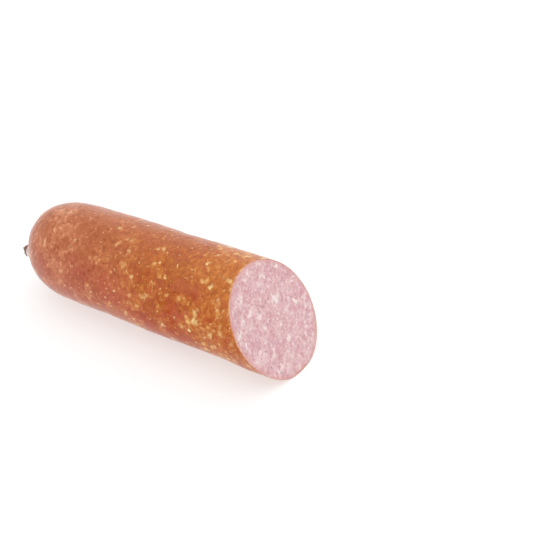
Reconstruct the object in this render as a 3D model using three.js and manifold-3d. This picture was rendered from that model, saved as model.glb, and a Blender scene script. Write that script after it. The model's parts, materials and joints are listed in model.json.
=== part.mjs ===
// Half of a cured sausage, lying on its side: a chub of fine-cut meat in a thin casing, one end
// gathered and closed by a crimped wire clip, the other end cut on a slant.
// Millimetres, +Z up. +X runs along the sausage from the closed end to the cut end.
// The origin is on the surface that the sausage rests on, under the middle of its bounding box.
import * as THREE from "three";
import { mergeVertices } from "three/addons/utils/BufferGeometryUtils.js";
import Module from "manifold-3d";

// Body
const calibre = 60; // outside diameter of the filled casing
const bodyLength = 168; // end of the rounded end to the middle of the cut face
const domeLength = 41; // length over which the closed end rounds off
const domeFullness = 2.4; // superellipse exponent of the rounded end: 2 is an ellipse
const domeLean = 0.15; // slope of the rounded end, which is set back on the side of its tie
const drawnOut = 2.9; // how far the rounded end is drawn out into a cone under the tie
const drawnSpread = 5; // distance from the tie over which that fades to about a third
const restDepth = 0.6; // how far the underside is pressed flat

// Slanted cut
const cutLean = 30; // degrees that the cut face leans back from upright
const cutTurn = 8; // degrees that the cut face turns towards the front, which is -Y
const cutSpare = 10; // how much longer than the cut the body is made before it is cut

// Casing and what it holds
const casingWall = 0.2;
const meatClearance = 0.05; // between the casing's inside and the meat

// Gathered neck and tail of the casing
const tieOffset = 10; // from the body's axis to the tie
const tieAngle = 118; // degrees round the axis from the top to the tie, towards the front
const tailDroop = 12; // degrees that the tail points away from the axis, on the side of the tie
const gatherFlare = 1.4; // how much wider than the neck its foot is
const gatherLength = 0.8;
const gatherMiddle = 0.3; // share of the flare that is left halfway along it
const gatherRoot = 3; // how far the foot starts inside the body
const neckRadius = 2.3;
const neckLength = 2.4;
const tailRadius = 3.8; // widest part of the tail, close to the clip
const tailLength = 3.2;
const tailOpening = 1.1; // length over which the tail opens out and its pleats grow
const tailSlant = 0.2; // slope of the bunched tail, which reaches further on its upper side
const tailPleats = 9;
const pleatDepth = 0.16; // as a share of the radius

// Crimped wire clip
const clipWire = 2.0; // width of the wire along the neck
const clipThickness = 1.6; // thickness of the wire across the neck
const clipBore = 0.25; // clearance between the wire and the neck
const clipLegGap = 1.0; // between the two bent ends of the wire, at the bore
const clipCorner = 0.3; // rounding of the wire's corners, as a share of its smaller side

// Facets
const bodySegments = 64;
const domeSteps = 20;
const tailSegments = 36;
const tailSteps = 5;
const wireSteps = 28;
const cornerSteps = 3;

const radius = calibre / 2;
const axisHeight = radius - restDepth;
const wasm = await Module();
wasm.setup();

const leanSlope = Math.tan(THREE.MathUtils.degToRad(cutLean));
const turnSlope = Math.tan(THREE.MathUtils.degToRad(cutTurn));
const tieTurn = THREE.MathUtils.degToRad(tieAngle);
// From the axis to the tie, square to the axis
const tieSide = new THREE.Vector3(0, -Math.sin(tieTurn), Math.cos(tieTurn));

// A closed geometry as a solid that can be joined and cut.
function solidFrom(geometry) {
  const bare = geometry.index ? geometry.toNonIndexed() : geometry.clone();
  bare.deleteAttribute("normal");
  bare.deleteAttribute("uv");
  const merged = mergeVertices(bare, 1e-4);
  return new wasm.Manifold(
    new wasm.Mesh({
      numProp: 3,
      vertProperties: merged.attributes.position.array,
      triVerts: new Uint32Array(merged.index.array),
    }),
  );
}

// A solid as a geometry.
function geometryFrom(solid) {
  const mesh = solid.getMesh();
  const geometry = new THREE.BufferGeometry();
  geometry.setAttribute("position", new THREE.BufferAttribute(mesh.vertProperties, 3));
  geometry.setIndex(new THREE.BufferAttribute(mesh.triVerts, 1));
  geometry.computeVertexNormals();
  return geometry;
}

// Moves every vertex by a function of the vertex.
function reshape(geometry, move) {
  const places = geometry.attributes.position;
  const vertex = new THREE.Vector3();
  for (let i = 0; i < places.count; i += 1) {
    vertex.fromBufferAttribute(places, i);
    move(vertex);
    places.setXYZ(i, vertex.x, vertex.y, vertex.z);
  }
  return geometry;
}

// How far from the end of the body the rounded end's surface lies, at a distance from the axis.
function domeDepth(fromAxis) {
  const share = Math.min(fromAxis / radius, 1);
  return domeLength * (1 - (1 - share ** domeFullness) ** (1 / domeFullness));
}

// The point of the rounded end that the tie draws out, and the direction in which the tail
// leaves it.
const tiePoint = tieSide.clone().multiplyScalar(tieOffset);
tiePoint.x = domeDepth(tieOffset) + domeLean * tieOffset;
tiePoint.z += axisHeight;
const tailTilt = THREE.MathUtils.degToRad(tailDroop);
const tailDirection = new THREE.Vector3(-Math.cos(tailTilt), 0, 0).addScaledVector(
  tieSide,
  Math.sin(tailTilt),
);
const alongTail = new THREE.Quaternion().setFromUnitVectors(
  new THREE.Vector3(0, 1, 0),
  tailDirection,
);

// How far the rounded end is drawn out at a distance from the tie's line.
function drawnOutAt(fromTie) {
  return drawnOut * Math.exp(-fromTie / drawnSpread);
}

// The middle of the neck's foot, on the drawn out surface.
const neckFoot = tiePoint.clone().addScaledVector(tailDirection, drawnOutAt(neckRadius));

// The filled body, a distance `inset` inside its outside: a rounded end, drawn out under the tie,
// and a straight cylinder that runs past the cut. The axis is at height axisHeight and the
// rounded end starts at x = 0.
function filledBody(inset) {
  const pastCut = bodyLength + radius * (leanSlope + turnSlope) + cutSpare;
  const outline = [];
  for (let i = 0; i <= domeSteps; i += 1) {
    const angle = (i / domeSteps) * (Math.PI / 2);
    const across = Math.sin(angle) ** (2 / domeFullness);
    const along = 1 - Math.cos(angle) ** (2 / domeFullness);
    outline.push(
      new THREE.Vector2((radius - inset) * across, inset + (domeLength - inset) * along),
    );
  }
  outline.push(new THREE.Vector2(radius - inset, pastCut), new THREE.Vector2(0, pastCut));
  outline[0].x = 0;
  const body = new THREE.LatheGeometry(outline, bodySegments).rotateZ(-Math.PI / 2);
  return reshape(body, (v) => {
    const towardsTie = v.y * tieSide.y + v.z * tieSide.z;
    v.x += domeLean * towardsTie * Math.max(1 - v.x / domeLength, 0);
    v.z += axisHeight;
    const fromTie = v.clone().sub(tiePoint).cross(tailDirection).length();
    const onEnd = Math.max(1 - v.x / domeLength, 0);
    v.addScaledVector(tailDirection, drawnOutAt(fromTie) * onEnd);
    v.z = Math.max(v.z, inset);
  });
}

// Everything past the cut plane.
function pastCutBlock() {
  const side = 2 * (calibre + bodyLength);
  const block = new THREE.BoxGeometry(side, side, side).translate(side / 2, 0, 0);
  const normal = new THREE.Vector3(1, -turnSlope, leanSlope).normalize();
  block.applyQuaternion(
    new THREE.Quaternion().setFromUnitVectors(new THREE.Vector3(1, 0, 0), normal),
  );
  return block.translate(bodyLength, 0, axisHeight);
}

// Turns a shape whose axis is +Y, with y = 0 at the neck's foot, into its place on the body.
function placedAtTie(geometry) {
  return geometry.applyQuaternion(alongTail).translate(neckFoot.x, neckFoot.y, neckFoot.z);
}

// The gathered foot, the neck that the clip holds, and the pleated tail past it, as one solid.
// It starts inside the body, so that it joins the casing all round.
function gatheredEnd() {
  const footRadius = neckRadius + gatherFlare;
  const neckStart = gatherLength;
  const tailStart = neckStart + neckLength;
  const widest = tailStart + tailOpening;
  const outline = [
    new THREE.Vector2(0, -gatherRoot),
    new THREE.Vector2(footRadius, -gatherRoot),
    new THREE.Vector2(footRadius, 0),
    new THREE.Vector2(neckRadius + gatherFlare * gatherMiddle, gatherLength / 2),
    new THREE.Vector2(neckRadius, neckStart),
    new THREE.Vector2(neckRadius, tailStart),
  ];
  for (let i = 0; i <= tailSteps; i += 1) {
    const angle = (i / tailSteps) * (Math.PI / 2);
    const past = (tailLength - tailOpening) * Math.sin(angle);
    outline.push(new THREE.Vector2(tailRadius * Math.cos(angle), widest + past));
  }
  outline[outline.length - 1].x = 0;
  const end = new THREE.LatheGeometry(outline, tailSegments);
  reshape(end, (v) => {
    const pastNeck = THREE.MathUtils.clamp((v.y - tailStart) / tailOpening, 0, 1);
    const wave = Math.cos(tailPleats * Math.atan2(v.z, v.x));
    const share = 1 - (pleatDepth * pastNeck * (1 - wave)) / 2;
    v.x *= share;
    v.z *= share;
    v.y += tailSlant * v.z * pastNeck;
  });
  return placedAtTie(end);
}

// The clip: a flat wire bent round the neck into a ring, its two ends nearly meeting underneath.
function bentWire() {
  const bend = neckRadius + clipBore + clipThickness / 2;
  const gapAngle = clipLegGap / (neckRadius + clipBore);
  const ring = new THREE.Curve();
  ring.getPoint = (t, target = new THREE.Vector3()) => {
    const angle = gapAngle / 2 + t * (2 * Math.PI - gapAngle);
    return target.set(bend * Math.sin(angle), 0, -bend * Math.cos(angle));
  };
  const corner = Math.min(clipWire, clipThickness) * clipCorner;
  const section = new THREE.Shape();
  const halfWide = clipWire / 2;
  const halfThick = clipThickness / 2;
  section.moveTo(-halfWide + corner, -halfThick);
  section.lineTo(halfWide - corner, -halfThick);
  section.absarc(halfWide - corner, -halfThick + corner, corner, -Math.PI / 2, 0);
  section.absarc(halfWide - corner, halfThick - corner, corner, 0, Math.PI / 2);
  section.absarc(-halfWide + corner, halfThick - corner, corner, Math.PI / 2, Math.PI);
  section.absarc(-halfWide + corner, -halfThick + corner, corner, Math.PI, Math.PI * 1.5);
  const wire = new THREE.ExtrudeGeometry(section, {
    steps: wireSteps,
    extrudePath: ring,
    curveSegments: cornerSteps,
    bevelEnabled: false,
  });
  wire.translate(0, gatherLength + neckLength / 2, 0);
  return placedAtTie(wire);
}

const cutAway = solidFrom(pastCutBlock());
const casingSolid = solidFrom(filledBody(0))
  .add(solidFrom(gatheredEnd()))
  .subtract(solidFrom(filledBody(casingWall)))
  .subtract(cutAway);
const meatSolid = solidFrom(filledBody(casingWall + meatClearance)).subtract(cutAway);
const clipSolid = solidFrom(bentWire());

const materials = {
  casing: new THREE.MeshStandardMaterial({ color: 0xb9683d, roughness: 0.35, metalness: 0 }),
  meat: new THREE.MeshStandardMaterial({ color: 0xdcb0b8, roughness: 0.6, metalness: 0 }),
  clip: new THREE.MeshStandardMaterial({ color: 0xc9cacd, roughness: 0.35, metalness: 1 }),
};

function node(name, solid, material) {
  const mesh = new THREE.Mesh(geometryFrom(solid), material);
  mesh.name = name;
  return mesh;
}

const sausage = new THREE.Group();
sausage.add(
  node("casing", casingSolid, materials.casing),
  node("meat", meatSolid, materials.meat),
  node("clip", clipSolid, materials.clip),
);

// Centres the bounding box over the origin.
const box = new THREE.Box3().setFromObject(sausage);
const middle = box.getCenter(new THREE.Vector3());
sausage.children.forEach((mesh) => mesh.geometry.translate(-middle.x, -middle.y, -box.min.z));

export default sausage;
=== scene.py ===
"""Half of a cured sausage on a plain pale floor: a thin casing gathered into a tied tail, the meat that
fills it, cut on a slant, and the crimped wire clip round the neck. Metres, +Z up, +X towards the cut."""

import json
import math

import bpy
import numpy as np
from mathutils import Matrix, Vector


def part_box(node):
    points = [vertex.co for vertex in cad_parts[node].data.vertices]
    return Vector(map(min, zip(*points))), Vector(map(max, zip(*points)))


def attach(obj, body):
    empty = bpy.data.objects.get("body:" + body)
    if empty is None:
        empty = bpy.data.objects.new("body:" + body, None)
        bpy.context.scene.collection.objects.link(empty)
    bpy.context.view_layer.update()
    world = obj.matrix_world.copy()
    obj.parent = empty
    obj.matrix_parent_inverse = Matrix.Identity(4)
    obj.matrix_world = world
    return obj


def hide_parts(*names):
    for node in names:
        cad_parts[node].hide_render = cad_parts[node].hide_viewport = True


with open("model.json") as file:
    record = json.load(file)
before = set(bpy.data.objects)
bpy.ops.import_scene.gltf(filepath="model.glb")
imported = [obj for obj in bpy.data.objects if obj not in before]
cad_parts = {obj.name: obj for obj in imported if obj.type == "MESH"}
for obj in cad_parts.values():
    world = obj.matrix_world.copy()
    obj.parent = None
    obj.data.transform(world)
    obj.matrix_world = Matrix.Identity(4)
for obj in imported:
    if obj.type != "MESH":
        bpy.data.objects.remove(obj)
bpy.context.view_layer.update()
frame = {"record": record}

MM = 0.001

# Sizes that the design states and that the frame doesn't hold
BODY_LENGTH = 168 * MM  # rounded end to the middle of the cut
DOME_LENGTH = 41 * MM
DOME_FULLNESS = 2.4
DOME_LEAN = 0.15
DRAWN_OUT = 2.9 * MM
DRAWN_SPREAD = 5 * MM
TIE_OFFSET = 10 * MM
TIE_ANGLE = math.radians(118)
TAIL_DROOP = math.radians(12)
GATHER_LENGTH = 0.8 * MM
NECK_RADIUS = 2.3 * MM
NECK_LENGTH = 2.4 * MM
TAIL_RADIUS = 3.8 * MM
TAIL_LENGTH = 3.2 * MM
TAIL_OPENING = 1.1 * MM
TAIL_SLANT = 0.2
CLIP_WIRE = 2.0 * MM
CLIP_THICKNESS = 1.6 * MM
CLIP_BORE = 0.25 * MM
CLIP_LEG_GAP = 1.0 * MM
WALL = 0.2 * MM

# Sizes of the looks alone
CLEARANCE = 0.04 * MM  # between casing and meat, 0.01 mm less than in the design
PLEATS = 13
FINE_PLEATS = 29
GATHERS_RADIUS = 9 * MM  # the gathers end and the body's own rings begin
BODY_RINGS_RADIUS = 9.35 * MM
SKIN_COLUMNS = 256
FACE_SIDE = 208  # points along each side of the cut face's grid

# Unevenness, in layers: height, longest and shortest wave, number of waves, seed
SKIN_LAYERS = (
    (0.30 * MM, 120 * MM, 45 * MM, 10, 11),
    (0.10 * MM, 24 * MM, 11 * MM, 24, 12),
    (0.030 * MM, 7 * MM, 3 * MM, 60, 13),
)
CUT_LAYERS = (
    (0.12 * MM, 60 * MM, 25 * MM, 10, 31),
    (0.055 * MM, 6 * MM, 2.6 * MM, 70, 32),
    (0.050 * MM, 2.4 * MM, 1.1 * MM, 110, 33),
)

# Places read from the frame
CUT = next(m for m in frame["record"]["mounts"] if m["name"] == "cut_face")
CUT_MIDDLE = np.array(CUT["pos_m"])
CUT_NORMAL = np.array(CUT["axis"]) / np.linalg.norm(CUT["axis"])
CASING_LOW, CASING_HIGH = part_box("casing")
RADIUS = (CASING_HIGH.y - CASING_LOW.y) / 2
AXIS_HEIGHT = CASING_HIGH.z - RADIUS
BODY_START = CUT_MIDDLE[0] - BODY_LENGTH

# From the axis to the tie, and the way the tail points
TIE_SIDE = np.array([0, -math.sin(TIE_ANGLE), math.cos(TIE_ANGLE)])
TAIL_WAY = np.array([-math.cos(TAIL_DROOP), 0, 0]) + TIE_SIDE * math.sin(TAIL_DROOP)


# ---------------------------------------------------------------- shapes


def swell(points, longest, shortest, waves, seed):
    """A smooth random height at each point, mostly between -1 and 1 and seldom past 2: the sum of cosine
    waves that run in seeded random directions, over the square root of their number. Their lengths are
    spread evenly in ratio between the longest and the shortest."""
    draw = np.random.default_rng(seed)
    ways = draw.normal(size=(waves, 3))
    ways /= np.linalg.norm(ways, axis=1, keepdims=True)
    lengths = longest * (shortest / longest) ** draw.random(waves)
    phases = draw.random(waves) * 2 * np.pi
    total = np.zeros(points.shape[:-1])
    for way, length, phase in zip(ways, lengths, phases):
        total += np.cos(points @ way * (2 * np.pi / length) + phase)
    return total / math.sqrt(waves)


def layered(points, layers):
    """The sum of several swells, each times its own height."""
    return sum(height * swell(points, *waves) for height, *waves in layers)


def ease(values, start, end):
    """0 at start, 1 at end, and a smooth cubic between."""
    share = np.clip((values - start) / (end - start), 0, 1)
    return share * share * (3 - 2 * share)


def dome_depth(across, inset):
    """How far the rounded end's surface lies from its tip at a distance from the axis: a superellipse."""
    share = np.clip(across / (RADIUS - inset), 0, 1)
    rise = 1 - (1 - share**DOME_FULLNESS) ** (1 / DOME_FULLNESS)
    return inset + (DOME_LENGTH - inset) * rise


# Where the tail's line meets the rounded end, then the same place lifted by as much as the skin is drawn out
# at the neck's radius
TIE_POINT = TIE_SIDE * TIE_OFFSET + np.array([
    BODY_START + dome_depth(TIE_OFFSET, 0.0) + DOME_LEAN * TIE_OFFSET, 0, AXIS_HEIGHT])
TIE_FOOT = TIE_POINT + TAIL_WAY * DRAWN_OUT * math.exp(-NECK_RADIUS / DRAWN_SPREAD)


def drawn_out(points):
    """Draws the rounded end out along the tail's line, by an amount that dies away with distance from that
    line and evenly along the length of the rounded end."""
    from_line = np.linalg.norm(np.cross(points - TIE_POINT, TAIL_WAY), axis=-1)
    on_end = np.maximum(1 - (points[..., 0] - BODY_START) / DOME_LENGTH, 0)
    return points + TAIL_WAY * (DRAWN_OUT * np.exp(-from_line / DRAWN_SPREAD) * on_end)[..., None]


def dome_ring(spread, around, inset):
    """A ring of the rounded end. Spread 0 is the tie and 1 the full girth: each ring is a circle seen along
    the axis, whose middle slides from the tie to the axis as it grows. Its depth is the superellipse,
    leaned, then drawn out at the tie."""
    middle = TIE_SIDE * TIE_OFFSET * (1 - spread)
    y = middle[1] + (RADIUS - inset) * spread * np.cos(around)
    z = middle[2] + (RADIUS - inset) * spread * np.sin(around)
    depth = dome_depth(np.hypot(y, z), inset)
    lean = DOME_LEAN * (y * TIE_SIDE[1] + z * TIE_SIDE[2]) * np.clip(1 - depth / DOME_LENGTH, 0, 1)
    return drawn_out(np.stack([BODY_START + depth + lean, y, AXIS_HEIGHT + z], axis=-1))


def cut_reach(y, z):
    """The distance along X at which the cut plane passes a point of the cross-section."""
    across = CUT_NORMAL[1] * y + CUT_NORMAL[2] * (z - CUT_MIDDLE[2])
    return CUT_MIDDLE[0] - across / CUT_NORMAL[0]


def unevenness(points, outward):
    """Moves skin points along their outward direction by the slow swells of a hand-tied, hung sausage and the
    small lumps of the meat under the skin. They fade at the neck."""
    from_tie = np.linalg.norm(points - TIE_FOOT, axis=-1)
    height = layered(points, SKIN_LAYERS) * ease(from_tie, 5 * MM, 25 * MM)
    return points + outward * height[..., None]


def rest_on_floor(points, inset):
    """Presses the underside flat, at the inset of that surface above the floor."""
    points[..., 2] = np.maximum(points[..., 2], inset)
    return points


def body_rows(inset, dome_rows, straight_rows, around, first_spread):
    """Rings of the filled body from the rounded end to the cut, and the outward direction at each point. The
    rounded end's spread is a power of a sine, so that its rings close up towards full girth. The straight
    part's rings tilt evenly until the last lies in the cut plane. Outward is square to an ellipsoid over the
    rounded end, and straight away from the axis past it."""
    first = math.asin(first_spread ** (DOME_FULLNESS / 2))
    turn = np.linspace(first, np.pi / 2, dome_rows)[:, None]
    spread = np.sin(turn) ** (2 / DOME_FULLNESS)
    dome = np.stack([dome_ring(s, around, inset) for s in spread[:, 0]])
    full = dome[-1]
    reach = cut_reach(full[:, 1], full[:, 2])
    share = np.linspace(0, 1, straight_rows + 1)[1:, None]
    straight = np.repeat(full[None], straight_rows, axis=0)
    straight[..., 0] = full[:, 0] + (reach - full[:, 0]) * share
    points = np.concatenate([dome, straight])
    outward = points - np.array([0, 0, AXIS_HEIGHT])
    inside = np.maximum(BODY_START + DOME_LENGTH - points[..., 0], 0)
    outward[..., 0] = -inside * (RADIUS / DOME_LENGTH) ** 2
    outward /= np.linalg.norm(outward, axis=-1, keepdims=True)
    return points, outward


def inner_rows(inset, dome_rows, straight_rows, around):
    """Rings inside the skin, from the tie to the cut. They follow its unevenness, stay under the creases of
    the gathers, and are pressed flat with it."""
    first_spread = 0.14
    deepest_crease = 0.8 * MM
    points, outward = body_rows(inset, dome_rows, straight_rows, around, first_spread)
    from_tie = np.linalg.norm(points - TIE_FOOT, axis=-1)
    under = deepest_crease * (1 - ease(from_tie, 4 * MM, 18 * MM))
    points = unevenness(points, outward) - outward * under[..., None]
    return rest_on_floor(points, inset)


def mesh_piece(name, points, faces, material, smooth=True):
    """A mesh object at the origin from arrays of points and faces, smooth or flat shaded."""
    mesh = bpy.data.meshes.new(name)
    mesh.from_pydata(points.reshape(-1, 3), [], faces)
    mesh.validate()
    mesh.polygons.foreach_set("use_smooth", np.full(len(mesh.polygons), smooth))
    mesh.materials.append(material)
    piece = bpy.data.objects.new(name, mesh)
    bpy.context.scene.collection.objects.link(piece)
    return piece


def ring_faces(rows, columns, start=0, flip=False):
    """The four-sided faces between rings that each close on themselves. Flip turns them over."""
    row, column = np.meshgrid(np.arange(rows - 1), np.arange(columns), indexing="ij")
    onward = (column + 1) % columns
    a = start + row * columns + column
    b = start + row * columns + onward
    quads = np.stack([a, b, b + columns, a + columns], axis=-1).reshape(-1, 4)
    return quads[:, ::-1] if flip else quads


def pole_faces(pole, ring_start, columns, flip=False):
    """The fan of triangles from a pole to a ring. Flip turns them over."""
    column = np.arange(columns)
    onward = (column + 1) % columns
    fan = np.stack([np.full(columns, pole), ring_start + onward, ring_start + column], axis=-1)
    return fan[:, ::-1] if flip else fan


# ---------------------------------------------------------------- the tie's own frame

SIDEWAYS = np.cross(TAIL_WAY, [0, 0, 1])
SIDEWAYS /= np.linalg.norm(SIDEWAYS)
if SIDEWAYS[1] < 0:
    SIDEWAYS = -SIDEWAYS
UPWARDS = np.cross(SIDEWAYS, TAIL_WAY)
if UPWARDS[2] < 0:
    UPWARDS = -UPWARDS


def tail_ring(along, radius, around):
    """A ring round the tail's line, at a distance along it from the tie's foot."""
    ways = SIDEWAYS * np.cos(around)[:, None] + UPWARDS * np.sin(around)[:, None]
    along = np.broadcast_to(np.asarray(along, float), around.shape)
    radius = np.broadcast_to(np.asarray(radius, float), around.shape)
    return TIE_FOOT + TAIL_WAY * along[:, None] + ways * radius[:, None]


def folds(around, seed, count):
    """Pleats round a ring, from 0 in a valley to about 1 on a ridge: a cosine whose phase wanders, with
    rounded ridges, sharp valleys and uneven heights."""
    draw = np.random.default_rng(seed)
    about_a_turn = 6.28
    sharpness = 0.7

    def waver(size, counts):
        """Slow waves round the ring, each of a random size and phase."""
        return sum(draw.normal(0, size) * np.cos(k * around + draw.random() * about_a_turn) for k in counts)

    wander = waver(0.45, (1, 2, 3))
    uneven = 1 + waver(0.16, (2, 3, 5))
    return np.abs(np.cos(count / 2 * around + wander)) ** sharpness * uneven


def tied_rows(around, pleat):
    """Rings of the tied end, from the tip of the tail to the edge of the gathers. Pleats bite into each ring
    by a share of its radius, less as they near the neck, and the gathers carry them on as creases."""
    fine = folds(around, 8, FINE_PLEATS)
    neck_end = GATHER_LENGTH + NECK_LENGTH
    widest = neck_end + TAIL_OPENING
    ragged = 0.30 * MM * swell(np.stack([np.cos(around), np.sin(around), 0 * around], -1), 1.2, 0.3, 16, 21)
    slant = TAIL_SLANT * TAIL_RADIUS * np.sin(around)

    rows = []
    # the bunched end of the tail, from its tip out: a quarter ellipse cut into by pleats and slanted
    for turn in np.linspace(0.10, np.pi / 2, 16):
        out = math.sin(turn)
        bite = 0.26 * (1 - pleat) + 0.07 * (1 - fine)
        along = widest + (TAIL_LENGTH - TAIL_OPENING) * math.cos(turn) + (slant + ragged) * out
        along = along - (0.45 * MM * (1 - pleat) + 0.15 * MM * (1 - fine)) * math.sin(2 * turn)
        rows.append(tail_ring(along, TAIL_RADIUS * out * (1 - bite), around))
    # the tail's side, which opens out from the neck
    for share in np.linspace(0.93, 0, 10):
        radius = NECK_RADIUS + (TAIL_RADIUS - NECK_RADIUS) * math.sin(share * np.pi / 2)
        bite = (0.10 + 0.16 * share) * (1 - pleat) + (0.03 + 0.04 * share) * (1 - fine)
        along = neck_end + TAIL_OPENING * share + (slant + ragged) * share
        rows.append(tail_ring(along, radius * (1 - bite), around))
    # the neck, held in by the clip
    for share in np.linspace(0.9, 0.1, 7):
        squeeze = 1 - 0.06 * math.sin(math.pi * share)
        bite = 0.07 * (1 - pleat) + 0.03 * (1 - fine)
        along = GATHER_LENGTH + NECK_LENGTH * share
        rows.append(tail_ring(along, NECK_RADIUS * squeeze * (1 - bite), around))
    # the gathers: a trumpet that rises out of the rounded end, its folds fading as they spread
    for radius in np.linspace(NECK_RADIUS, GATHERS_RADIUS, 22):
        height = GATHER_LENGTH * math.exp(-(radius - NECK_RADIUS) / (1.1 * MM))
        crease = 0.50 * MM * math.exp(-((radius - 3.4 * MM) / (2.4 * MM)) ** 2)
        crease += 0.16 * MM * float(1 - ease(np.array(radius), 5 * MM, 15 * MM))
        height_here = height - crease * (1 - pleat)
        nip = 0.07 * (1 - pleat) * math.exp(-(radius - NECK_RADIUS) / MM)
        near = tail_ring(height_here, radius * (1 - nip), around)
        far = dome_ring(radius / RADIUS, around, 0.0) + TAIL_WAY * height_here[:, None]
        blend = float(ease(np.array(radius), NECK_RADIUS, 7 * MM))
        rows.append(near * (1 - blend) + far * blend)
    return np.stack(rows)


def make_casing(material):
    """The casing as one closed skin: the bunched pleats of the tail, the neck, the gathers that fan out over
    the rounded end, the body, the rim at the cut and the inner face back to the tie."""
    columns = SKIN_COLUMNS
    around = np.linspace(0, 2 * np.pi, columns, endpoint=False)
    pleat = folds(around, 5, PLEATS)
    tied = tied_rows(around, pleat)

    skin, outward = body_rows(inset=0.0, dome_rows=62, straight_rows=170, around=around,
                              first_spread=BODY_RINGS_RADIUS / RADIUS)
    from_tie = np.linalg.norm(skin - TIE_FOOT, axis=-1)
    fading = 0.16 * MM * (1 - ease(from_tie, 5 * MM, 15 * MM))
    skin = unevenness(skin, outward) - outward * (fading * (1 - pleat))[..., None]
    skin = rest_on_floor(skin, 0.0)

    inner = inner_rows(WALL, dome_rows=20, straight_rows=34, around=around)[::-1]

    # the poles: a dimple in the tip of the tail, and the inner face's end at the tie
    points = np.concatenate([tied, skin, inner])
    rings = len(points)
    tail_pole = tied[0].mean(axis=0) - TAIL_WAY * 0.15 * MM
    inner_pole = inner[-1].mean(axis=0) + TAIL_WAY * 0.25 * MM
    flat = np.concatenate([points.reshape(-1, 3), [tail_pole, inner_pole]])
    last = (rings - 1) * columns
    faces = ring_faces(rings, columns).tolist()
    faces += pole_faces(rings * columns, 0, columns).tolist()
    faces += pole_faces(rings * columns + 1, last, columns, flip=True).tolist()
    return mesh_piece("casing_skin", flat, faces, material)


def make_meat(material):
    """The filling as one closed solid. Its cut face is a square grid bent into a disc by the elliptical map
    (x = u sqrt(1 - v^2/2), y = v sqrt(1 - u^2/2)), laid on the slanted plane inside the skin, with the grain
    of fine-cut meat. From the face's edge its side runs back inside the casing to a pole at the tie."""
    side = FACE_SIDE
    inset = WALL + CLEARANCE
    u, v = np.meshgrid(np.linspace(-1, 1, side), np.linspace(-1, 1, side), indexing="ij")
    disc_y = u * np.sqrt(1 - v**2 / 2)
    disc_z = v * np.sqrt(1 - u**2 / 2)
    low = np.arange(side - 1)
    index = np.arange(side * side).reshape(side, side)
    edge = np.concatenate([index[low, 0], index[-1, low], index[low[::-1] + 1, -1], index[0, low[::-1] + 1]])
    around = np.arctan2(disc_z.ravel()[edge], disc_y.ravel()[edge])

    side_rows = inner_rows(inset, dome_rows=20, straight_rows=26, around=around)
    rim = side_rows[-1]

    # the disc's points, stretched to the real rim along each direction
    angle = np.arctan2(disc_z, disc_y)
    order = np.argsort(around)
    rim_y = np.interp(angle, around[order], rim[order, 1], period=2 * np.pi)
    rim_z = np.interp(angle, around[order], rim[order, 2] - AXIS_HEIGHT, period=2 * np.pi)
    out = np.hypot(disc_y, disc_z)
    y = rim_y * out
    z = AXIS_HEIGHT + rim_z * out
    face = np.stack([cut_reach(y, z), y, z], axis=-1)
    # the grain, with pits where one more swell peaks, fades out at the edge, which falls away a little
    at_edge = ease(out, 0.97, 1.0)
    edge_fall = 0.07 * MM * at_edge**2
    grain = layered(face, CUT_LAYERS)
    pits = np.clip(swell(face, 5 * MM, 1.8 * MM, 60, 34) - 1.9, 0, 1) * 0.45 * MM
    face += CUT_NORMAL * ((grain - pits) * (1 - at_edge) - edge_fall)[..., None]

    back = side_rows[:-1][::-1]
    columns = len(edge)
    face_count = side * side
    pole = back[-1].mean(axis=0) + TAIL_WAY * 0.2 * MM
    points = np.concatenate([face.reshape(-1, 3), back.reshape(-1, 3), [pole]])
    a = index[:-1, :-1].ravel()
    b = index[1:, :-1].ravel()
    c = index[1:, 1:].ravel()
    d = index[:-1, 1:].ravel()
    faces = np.stack([a, b, c, d], axis=-1).tolist()
    column = np.arange(columns)
    onward = (column + 1) % columns
    seam = [edge[onward], edge[column], face_count + column, face_count + onward]
    faces += np.stack(seam, axis=-1).tolist()
    faces += ring_faces(len(back), columns, start=face_count, flip=True).tolist()
    last = face_count + (len(back) - 1) * columns
    faces += pole_faces(face_count + len(back) * columns, last, columns).tolist()
    return mesh_piece("meat_filling", points, faces, material)


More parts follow.
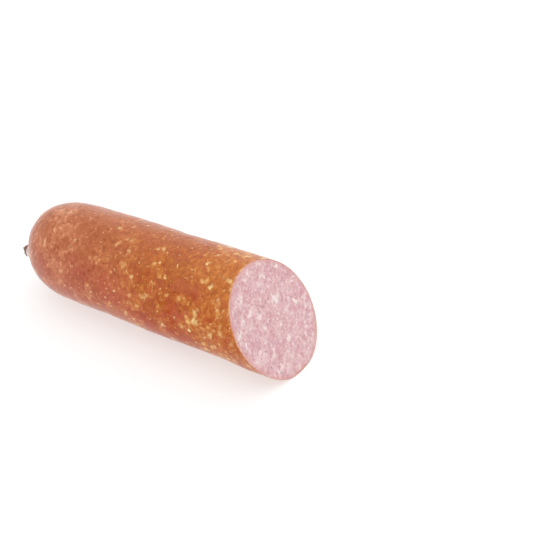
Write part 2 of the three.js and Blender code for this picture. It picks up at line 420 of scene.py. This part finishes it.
def make_clip(material):
    """The clip as a wire bent round the neck: a rounded rectangle carried along a ring that is a little
    narrower through its gap than across it. Its two domed ends nearly meet and stand out a little."""
    bend = NECK_RADIUS + CLIP_BORE + CLIP_THICKNESS / 2
    gap = CLIP_LEG_GAP / (NECK_RADIUS + CLIP_BORE)
    steps = 120
    section = 28
    cap = 7
    flattening = 0.035
    end_reach = 0.35  # radians
    end_lift = 0.10 * MM
    cap_turn = 0.10  # radians
    turn = np.linspace(gap / 2, 2 * np.pi - gap / 2, steps)
    tilt = np.linspace(0, 2 * np.pi, section, endpoint=False)
    # a superellipse between an ellipse and a rectangle
    squareness = 3.4
    wide = np.sign(np.cos(tilt)) * np.abs(np.cos(tilt)) ** (2 / squareness) * CLIP_WIRE / 2
    thick = np.sign(np.sin(tilt)) * np.abs(np.sin(tilt)) ** (2 / squareness) * CLIP_THICKNESS / 2

    near_first = np.exp(-(((turn - turn[0]) / end_reach) ** 2))
    near_last = np.exp(-(((turn - turn[-1]) / end_reach) ** 2))
    ring_radius = bend * (1 - flattening * np.cos(2 * turn)) + end_lift * (near_first + near_last)
    size = 1 - 0.015 * np.sin(turn * 7 + 1)
    caps = np.sin(np.linspace(0, np.pi / 2, cap + 1))[:-1]
    caps = np.maximum(caps, 0.18)
    all_turn = np.concatenate([turn[0] - np.linspace(1, 0, cap, endpoint=False) * cap_turn, turn,
                               turn[-1] + np.linspace(0, 1, cap + 1)[1:] * cap_turn])
    all_radius = np.concatenate([np.full(cap, ring_radius[0]), ring_radius, np.full(cap, ring_radius[-1])])
    all_size = np.concatenate([caps, size, caps[::-1]])
    out = -UPWARDS * np.cos(all_turn)[:, None] + SIDEWAYS * np.sin(all_turn)[:, None]
    middle = TIE_FOOT + TAIL_WAY * (GATHER_LENGTH + NECK_LENGTH / 2) + out * all_radius[:, None]
    points = (middle[:, None] + out[:, None] * (thick * all_size[:, None])[..., None]
              + TAIL_WAY * (wide * all_size[:, None])[..., None])
    rings = len(all_turn)
    flat = np.concatenate([points.reshape(-1, 3), [points[0].mean(0), points[-1].mean(0)]])
    faces = ring_faces(rings, section, flip=True).tolist()
    faces += pole_faces(rings * section, 0, section, flip=True).tolist()
    faces += pole_faces(rings * section + 1, (rings - 1) * section, section).tolist()
    return mesh_piece("clip_wire", flat, faces, material)


# ---------------------------------------------------------------- materials


def tone(red, green, blue):
    """A colour from display values of 0 to 255, as linear light."""
    shares = [v / 255 for v in (red, green, blue)]
    linear = [s / 12.92 if s <= 0.04045 else ((s + 0.055) / 1.055) ** 2.4 for s in shares]
    return (*linear, 1.0)


class Finish:
    """A node material that is built up by short calls. Every texture reads the piece's own place."""

    def __init__(self, name):
        self.material = bpy.data.materials.new(name)
        self.material.use_nodes = True
        self.tree = self.material.node_tree
        self.tree.nodes.clear()
        self.shader = self.tree.nodes.new("ShaderNodeBsdfPrincipled")
        output = self.tree.nodes.new("ShaderNodeOutputMaterial")
        self.tree.links.new(self.shader.outputs["BSDF"], output.inputs["Surface"])
        self.place = self.tree.nodes.new("ShaderNodeTexCoord").outputs["Object"]

    def put(self, socket, value):
        """Links a socket or sets its value."""
        if isinstance(value, bpy.types.NodeSocket):
            self.tree.links.new(value, socket)
        elif value is not None:
            socket.default_value = value

    def sum(self, operation, first, second=None):
        """One step of arithmetic on one or two values."""
        node = self.tree.nodes.new("ShaderNodeMath")
        node.operation = operation
        self.put(node.inputs[0], first)
        self.put(node.inputs[1], second)
        return node.outputs[0]

    def vector(self, operation, first, second=None, scale=None):
        """One step of arithmetic on places, or on a place and a scale."""
        node = self.tree.nodes.new("ShaderNodeVectorMath")
        node.operation = operation
        self.put(node.inputs[0], first)
        if scale is None:
            self.put(node.inputs[1], second)
        else:
            self.put(node.inputs["Scale"], scale)
        return node.outputs["Value" if operation in ("DOT_PRODUCT", "LENGTH") else "Vector"]

    def fit(self, value, low, high, to_low=0.0, to_high=1.0, smooth=True):
        """The value carried from one range to another, smoothly or in proportion, and held at its ends."""
        node = self.tree.nodes.new("ShaderNodeMapRange")
        node.interpolation_type = "SMOOTHSTEP" if smooth else "LINEAR"
        for socket, item in zip(node.inputs, (value, low, high, to_low, to_high)):
            self.put(socket, item)
        return node.outputs[0]

    def away(self, point):
        """The step from a point to the place."""
        return self.vector("SUBTRACT", self.place, tuple(point))

    def past(self, point, way):
        """How far the place lies past a point along a direction."""
        return self.vector("DOT_PRODUCT", self.away(point), tuple(way))

    def parts(self, place):
        """The three measures of a place, along X, Y and Z."""
        node = self.tree.nodes.new("ShaderNodeSeparateXYZ")
        self.put(node.inputs[0], place)
        return node.outputs[0], node.outputs[1], node.outputs[2]

    def blend(self, share, first, second):
        """The first colour at a share of 0, the second at 1, and their mix between."""
        node = self.tree.nodes.new("ShaderNodeMix")
        node.data_type = "RGBA"
        self.put(node.inputs[0], share)
        self.put(node.inputs[6], first)
        self.put(node.inputs[7], second)
        return node.outputs[2]

    def noise(self, size, place=None, detail=2.0, rough=0.5, colour=False):
        """Soft noise whose blotches are about that size in metres."""
        node = self.tree.nodes.new("ShaderNodeTexNoise")
        self.put(node.inputs["Vector"], place or self.place)
        node.inputs["Scale"].default_value = 1 / size
        node.inputs["Detail"].default_value = detail
        node.inputs["Roughness"].default_value = rough
        return node.outputs["Color" if colour else "Fac"]

    def stretched(self, scale=(1, 1, 1), turn=(0, 0, 0), shift=(0, 0, 0)):
        """The piece's place, stretched, then turned, then moved."""
        node = self.tree.nodes.new("ShaderNodeMapping")
        self.put(node.inputs["Vector"], self.place)
        node.inputs["Location"].default_value = shift
        node.inputs["Rotation"].default_value = turn
        node.inputs["Scale"].default_value = scale
        return node.outputs[0]

    def warped(self, place, size, amount):
        """A place pushed about by noise, so that blobs on it get ragged outlines."""
        push = self.vector("SUBTRACT", self.noise(size, place, 1.0, colour=True), (0.5, 0.5, 0.5))
        return self.vector("ADD", place, self.vector("SCALE", push, scale=amount))

    def flecks(self, place, cell, smallest, largest, presence, soft):
        """Bits of fat: blobs round scattered centres about a cell apart. Each draws its radius, in cells,
        between the smallest and the largest, less where presence is low; a draw below 0 leaves no blob. It
        is softened over a share of its radius, and a finer noise moves its edge in and out. Gives the mask
        and two more draws."""
        edge_size = cell * 0.42
        edge_reach = 0.20
        node = self.tree.nodes.new("ShaderNodeTexVoronoi")
        self.put(node.inputs["Vector"], place)
        node.inputs["Scale"].default_value = 1 / cell
        draws = self.tree.nodes.new("ShaderNodeSeparateColor")
        self.put(draws.inputs[0], node.outputs["Color"])
        radius = self.fit(draws.outputs[0], 0.0, 1.0, smallest, largest, smooth=False)
        radius = self.sum("MAXIMUM", self.sum("MULTIPLY", radius, presence), 0.001)
        inner = self.sum("MULTIPLY", radius, 1 - soft)
        edge = self.noise(edge_size, place, detail=2.0)
        edge = self.fit(edge, 0.3, 0.7, -edge_reach, edge_reach, smooth=False)
        mask = self.fit(self.sum("ADD", node.outputs["Distance"], edge), radius, inner)
        return mask, draws.outputs[1], draws.outputs[2]

    def relief(self, height, distance, strength):
        """Bumps in the shading alone, from a height counted in units of the distance."""
        node = self.tree.nodes.new("ShaderNodeBump")
        node.inputs["Strength"].default_value = strength
        node.inputs["Distance"].default_value = distance
        self.put(node.inputs["Height"], height)
        return node.outputs[0]

    def shade(self, **values):
        """Sets or links the shader's own sockets by name."""
        for name, value in values.items():
            self.put(self.shader.inputs[name.replace("_", " ")], value)
        return self.material


def skin_ground(skin, lengthwise, height):
    """The meat's colour through the clear brown skin: slow patches of pinkish brown, orange, tan, red and
    pink, each laid on by its own noise. It is pinker towards the rounded end. Along the top it turns a paler
    tan, which is painted light from above. Low down towards the cut it turns redder, partly the meat's own
    redder patch and partly painted shade low down."""
    patches = skin.noise(17 * MM, detail=3.0, rough=0.55)
    hue = skin.noise(9 * MM, skin.stretched(shift=(0.31, 0.2, 0.7)), detail=2.5)
    red = skin.noise(13 * MM, skin.stretched(shift=(0.9, 0.1, 0.4)), detail=2.0)
    pink = skin.noise(11 * MM, skin.stretched(shift=(0.15, 0.65, 0.35)), detail=2.0)
    colour = skin.blend(skin.fit(patches, 0.40, 0.60), tone(180, 82, 44), tone(179, 72, 4))
    colour = skin.blend(skin.fit(hue, 0.46, 0.62, 0.0, 0.75), colour, tone(181, 94, 18))
    colour = skin.blend(skin.fit(red, 0.50, 0.62, 0.0, 0.8), colour, tone(170, 48, 2))
    colour = skin.blend(skin.fit(pink, 0.48, 0.60, 0.0, 0.75), colour, tone(194, 90, 60))
    colour = skin.blend(skin.fit(lengthwise, -60 * MM, 25 * MM, 0.75, 0.0), colour, tone(185, 102, 80))
    # painted light: the colour turns a paler tan towards the top, standing in for light from above
    colour = skin.blend(skin.fit(height, 36 * MM, 60 * MM, 0.0, 0.65), colour, tone(180, 106, 60))
    # partly the meat's own redder patch near the cut, partly painted shade: redder and deeper low down
    low_red_and_shade = skin.sum("MULTIPLY", skin.fit(height, 38 * MM, 22 * MM, 0.0, 0.6),
                     skin.fit(lengthwise, -10 * MM, 25 * MM))
    return skin.blend(low_red_and_shade, colour, tone(172, 52, 2))


def skin_fat(skin, colour, lengthwise, peach):
    """Pale fat under the skin, laid over a colour: soft curds at three sizes and flecks at four. A slow
    noise, raised towards the cut and a little towards the rounded end, makes the curds thicker and the
    flecks larger where it is high. The fat is cream near the cut and peach at the rounded end."""
    crowd = skin.noise(15 * MM, skin.stretched(shift=(0.13, 0.85, 0.76)), detail=3.0, rough=0.65)
    by_cut = skin.fit(lengthwise, 25 * MM, 60 * MM, 0.0, 0.15)
    by_end = skin.fit(lengthwise, -20 * MM, -45 * MM, 0.0, 0.03)
    crowd = skin.sum("ADD", crowd, skin.sum("ADD", by_cut, by_end))
    presence = skin.fit(crowd, 0.45, 0.60, 0.0, 1.0)
    crowded_hue = skin.blend(peach, tone(206, 122, 46), tone(205, 130, 98))
    colour = skin.blend(skin.sum("MULTIPLY", presence, 0.34), colour, crowded_hue)
    ragged = skin.warped(skin.stretched((1.12, 0.96, 0.96)), 5.0 * MM, 2.4 * MM)
    for size, shift, start, opacity, fat in (
        (5.0 * MM, (0.2, 0.6, 0.9), 0.58, 0.35, tone(200, 108, 36)),
        (3.2 * MM, (0.7, 0.2, 0.3), 0.62, 0.60, tone(214, 134, 56)),
        (2.0 * MM, (0.4, 0.8, 0.6), 0.65, 0.40, tone(222, 150, 72)),
    ):
        curd = skin.noise(size, skin.vector("ADD", ragged, shift), detail=2.0, rough=0.6)
        curd = skin.sum("ADD", curd, skin.sum("MULTIPLY", presence, 0.10))
        fat = skin.blend(peach, fat, tone(218, 142, 106))
        colour = skin.blend(skin.fit(curd, start, start + 0.09, 0.0, opacity), colour, fat)
    crowded = skin.fit(presence, 0.0, 1.0, 0.30, 1.0)
    broken = skin.fit(skin.noise(1.4 * MM, detail=2.0), 0.36, 0.56, 0.75, 1.0)
    for cell, least, most, soft, opacity, pale, deep in (
        (2.5 * MM, -0.30, 0.68, 0.90, 0.75, tone(234, 172, 110), tone(216, 140, 62)),
        (3.8 * MM, -0.30, 0.70, 0.90, 1.00, tone(248, 204, 136), tone(232, 168, 84)),
        (5.2 * MM, -0.34, 0.58, 0.85, 1.00, tone(255, 226, 158), tone(242, 188, 104)),
        (7.2 * MM, -0.34, 0.42, 0.80, 1.00, tone(255, 240, 176), tone(252, 212, 128)),
    ):
        mask, drawn_depth, drawn_hue = skin.flecks(ragged, cell, least, most, crowded, soft)
        fat = skin.blend(peach, skin.blend(drawn_hue, deep, pale), tone(234, 170, 130))
        share = skin.sum("MULTIPLY", mask, skin.fit(drawn_depth, 0.0, 1.0, 0.55 * opacity, opacity))
        colour = skin.blend(skin.sum("MULTIPLY", share, broken), colour, fat)
    return colour


def skin_grain(skin, colour, peach):
    """A few small dark specks, then a fine grain of light and dark all over, laid over a colour."""
    place = skin.warped(skin.stretched(shift=(0.2, 0.8, 0.3)), 2 * MM, 2 * MM)
    dark, _, _ = skin.flecks(place, 2.6 * MM, -0.5, 0.52, 1.0, 0.7)
    colour = skin.blend(skin.sum("MULTIPLY", dark, 0.6), colour, tone(134, 56, 24))
    grain = skin.noise(2.4 * MM, skin.stretched((1.2, 1, 1), shift=(0.6, 0.1, 0.8)), detail=3.0, rough=0.55)
    colour = skin.blend(skin.fit(grain, 0.30, 0.50, 0.45, 0.0), colour, tone(158, 74, 26))
    light = skin.blend(peach, tone(208, 120, 46), tone(214, 138, 92))
    return skin.blend(skin.fit(grain, 0.50, 0.70, 0.0, 0.40), colour, light)


def skin_ends(skin, colour):
    """What differs at the two ends. Where the cut passes through it the skin is thin, pale and peach, and
    where it is drawn in to the tie it is paler and pinker. The tail is bare skin in small blotches of dark
    olive, brown and dusty pink."""
    to_cut = skin.past(CUT_MIDDLE, CUT_NORMAL)
    rim_hue = skin.blend(skin.fit(skin.noise(5 * MM), 0.48, 0.56), tone(226, 160, 138), tone(240, 196, 148))
    colour = skin.blend(skin.fit(to_cut, -0.7 * MM, -0.05 * MM, 0.0, 0.85), colour, rim_hue)
    to_tie = skin.vector("LENGTH", skin.away(TIE_FOOT))
    colour = skin.blend(skin.fit(to_tie, 15 * MM, 4 * MM, 0.0, 0.5), colour, tone(206, 146, 130))
    bare = skin.fit(skin.past(TIE_FOOT, TAIL_WAY), 0.2 * MM, (GATHER_LENGTH + NECK_LENGTH) * 0.8)
    fold = skin.noise(0.9 * MM, detail=2.0)
    folded = skin.blend(skin.fit(fold, 0.40, 0.62), tone(88, 78, 48), tone(176, 126, 108))
    folded = skin.blend(skin.fit(skin.noise(2.5 * MM), 0.48, 0.62, 0.0, 0.7), folded, tone(206, 150, 152))
    return skin.blend(bare, colour, folded)


def skin_over_meat():
    """Clear brown skin over mottled meat: the ground colour, then fat, grain and the two ends, each laid over
    the last. Small lumps show in the shading, under a soft gloss that brightens towards the outline."""
    skin = Finish("skin_over_meat")
    lengthwise, _, height = skin.parts(skin.place)
    peach = skin.fit(lengthwise, -55 * MM, 25 * MM, 0.85, 0.05)
    colour = skin_ground(skin, lengthwise, height)
    colour = skin_fat(skin, colour, lengthwise, peach)
    colour = skin_grain(skin, colour, peach)
    colour = skin_ends(skin, colour)
    lumps = skin.noise(1.6 * MM, detail=2.0)
    slow = skin.noise(4.5 * MM, detail=1.0)
    bump = skin.relief(skin.sum("ADD", lumps, slow), 0.05 * MM, 0.7)
    return skin.shade(Base_Color=colour, Roughness=0.5, Normal=bump, Subsurface_Weight=0.10,
                      Subsurface_Radius=(1.0, 0.35, 0.15), Subsurface_Scale=0.8 * MM,
                      Specular_IOR_Level=0.10, Coat_Weight=1.0, Coat_Roughness=0.32, Coat_IOR=1.22,
                      Coat_Normal=bump, Sheen_Weight=0.24, Sheen_Roughness=0.26,
                      Sheen_Tint=(0.95, 0.96, 1.0, 1.0))


def fresh_cut_meat():
    """The cut: pale pink meat with soft blotches, many small white and cream bits of fat that lie along its
    grain, pinker and greyer specks, a salmon ring where it meets the skin, and a moist sheen."""
    meat = Finish("fresh_cut_meat")
    # the grain runs up the cut and to the back, so the bits are long that way
    grain = meat.vector("MULTIPLY", meat.stretched(turn=(math.radians(40), 0, 0)), (1, 1.1, 0.78))
    ragged = meat.warped(grain, 2.4 * MM, 2.8 * MM)
    slow = meat.fit(meat.noise(11 * MM, detail=2.0), 0.42, 0.62, 0.0, 0.6)
    colour = meat.blend(slow, tone(219, 168, 174), tone(223, 173, 172))
    curd = meat.fit(meat.noise(4.6 * MM, ragged, detail=3.0, rough=0.65), 0.44, 0.58)
    colour = meat.blend(curd, colour, tone(232, 194, 194))
    lean = meat.fit(meat.noise(3.0 * MM, meat.vector("ADD", ragged, (0.3, 0.1, 0.7)), detail=2.5), 0.52, 0.66)
    colour = meat.blend(meat.sum("MULTIPLY", lean, 0.6), colour, tone(206, 146, 156))
    fine = meat.noise(1.3 * MM, detail=3.0, rough=0.65)
    colour = meat.blend(meat.fit(fine, 0.46, 0.66, 0.0, 0.5), colour, tone(241, 210, 212))
    colour = meat.blend(meat.fit(fine, 0.32, 0.46, 0.45, 0.0), colour, tone(190, 146, 154))
    crowd = meat.fit(meat.noise(13 * MM, detail=2.0), 0.40, 0.60, 0.72, 1.0)
    for cell, least, most, soft, opacity, fat in (
        (1.9 * MM, -0.45, 0.80, 0.80, 0.80, tone(249, 226, 228)),
        (3.2 * MM, -0.50, 0.84, 0.75, 0.90, tone(251, 230, 230)),
        (5.0 * MM, -0.70, 0.64, 0.70, 0.90, tone(247, 236, 228)),
    ):
        mask, drawn_depth, _ = meat.flecks(ragged, cell, least, most, crowd, soft)
        share = meat.sum("MULTIPLY", mask, meat.fit(drawn_depth, 0.0, 1.0, 0.3 * opacity, opacity))
        colour = meat.blend(share, colour, fat)
    for cell, shift, most, strength, first, second in (
        (2.1 * MM, (0.4, 0.9, 0.2), 0.60, 0.60, tone(172, 130, 142), tone(200, 130, 148)),
        (4.2 * MM, (0.1, 0.3, 0.6), 0.44, 0.50, tone(160, 128, 140), tone(214, 122, 146)),
    ):
        place = meat.warped(meat.stretched((1, 1.2, 0.85), shift=shift), 2 * MM, 2 * MM)
        specks, drawn, _ = meat.flecks(place, cell, -0.45, most, 1.0, 0.8)
        speck_colour = meat.blend(meat.fit(drawn, 0.45, 0.6), first, second)
        colour = meat.blend(meat.sum("MULTIPLY", specks, strength), colour, speck_colour)

    # how far out from the axis, seen along it
    _, sideways, upward = meat.parts(meat.away((0, 0, AXIS_HEIGHT)))
    squares = meat.sum("ADD", meat.sum("MULTIPLY", sideways, sideways), meat.sum("MULTIPLY", upward, upward))
    across = meat.sum("SQRT", squares)
    wavy = meat.sum("ADD", across, meat.fit(meat.noise(5 * MM), 0.3, 0.7, -0.5 * MM, 0.5 * MM))
    ring = meat.fit(wavy, RADIUS - 2.6 * MM, RADIUS - 0.6 * MM, 0.0, 0.5)
    colour = meat.blend(ring, colour, tone(220, 156, 150))

    height = meat.sum("ADD", fine, meat.noise(0.5 * MM, detail=2.0))
    bump = meat.relief(height, 0.12 * MM, 0.8)
    return meat.shade(Base_Color=colour, Roughness=0.5, Normal=bump, Subsurface_Weight=0.12,
                      Subsurface_Radius=(1.0, 0.45, 0.35), Subsurface_Scale=0.6 * MM,
                      Coat_Weight=0.15, Coat_Roughness=0.3, Specular_IOR_Level=0.3)


def drawn_wire():
    """Soft aluminium wire: a bright, slightly warm grey with a fine grain and small dull patches."""
    wire = Finish("drawn_wire")
    dull = wire.fit(wire.noise(0.6 * MM, detail=3.0), 0.4, 0.7)
    colour = wire.blend(dull, tone(238, 228, 222), tone(206, 192, 186))
    roughness = wire.fit(dull, 0.0, 1.0, 0.28, 0.5, smooth=False)
    bump = wire.relief(wire.noise(0.25 * MM, detail=2.0), 0.02 * MM, 0.5)
    return wire.shade(Base_Color=colour, Metallic=1.0, Roughness=roughness, Normal=bump)


# ---------------------------------------------------------------- the object

casing = make_casing(skin_over_meat())
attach(casing, "root")
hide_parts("casing")

meat = make_meat(fresh_cut_meat())
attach(meat, "root")
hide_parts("meat")

clip = make_clip(drawn_wire())
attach(clip, "root")
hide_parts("clip")

# ---------------------------------------------------------------- floor, light and camera


def make_floor():
    """A wide matt pale floor with a faint grain, which glows by itself so that shadows on it stay faint."""
    paper = Finish("white_paper")
    grain = paper.noise(3 * MM, detail=2.0)
    colour = paper.blend(grain, tone(180, 180, 180), tone(184, 184, 184))
    material = paper.shade(Base_Color=colour, Roughness=0.9, Specular_IOR_Level=0.1,
                           Emission_Color=(1.0, 1.0, 1.0, 1.0), Emission_Strength=0.58)
    reach = 6.0
    corners = np.array([[-reach, -reach, 0], [reach, -reach, 0], [reach, reach, 0], [-reach, reach, 0]])
    floor = mesh_piece("floor", corners, [(0, 1, 2, 3)], material, smooth=False)


def add_softbox(name, place, aim, size, power):
    """A rectangular soft light that faces its aim. Size is in metres and power in watts."""
    light = bpy.data.lights.new(name, "AREA")
    light.shape = "RECTANGLE"
    light.size, light.size_y = size
    light.energy = power
    lamp = bpy.data.objects.new(name, light)
    lamp.location = place
    lamp.rotation_euler = (Vector(aim) - Vector(place)).to_track_quat("-Z", "Y").to_euler()
    bpy.context.scene.collection.objects.link(lamp)


def light_studio():
    """Even white light from all round, a large softbox overhead and a weak one behind for the upper edge."""
    scene = bpy.context.scene
    scene.view_settings.view_transform = "Standard"
    world = bpy.data.worlds.new("studio")
    world.use_nodes = True
    background = world.node_tree.nodes["Background"]
    background.inputs["Color"].default_value = (1.0, 1.0, 1.0, 1.0)
    background.inputs["Strength"].default_value = 0.76
    scene.world = world
    add_softbox("overhead", (0.1, 0.0, 1.3), (0, 0, 0), (1.4, 1.0), 6.0)
    add_softbox("behind", (-0.3, 0.9, 0.45), (0, 0, 0.03), (2.0, 0.7), 2.2)


def place_camera():
    """A camera in front, above and a little to the cut's side, looking down on the sausage."""
    lens = bpy.data.cameras.new("camera")
    lens.sensor_width = 36.0
    lens.lens = 42.86
    lens.clip_start = 0.01
    camera = bpy.data.objects.new("camera", lens)
    camera.location = (CUT_MIDDLE[0] + 0.1233, -0.2342, 0.2581)
    down = math.radians(36.77)
    turn = math.radians(28.12)
    camera.rotation_euler = (math.pi / 2 - down, 0, turn)
    bpy.context.scene.collection.objects.link(camera)
    bpy.context.scene.camera = camera


make_floor()
light_studio()
place_camera()
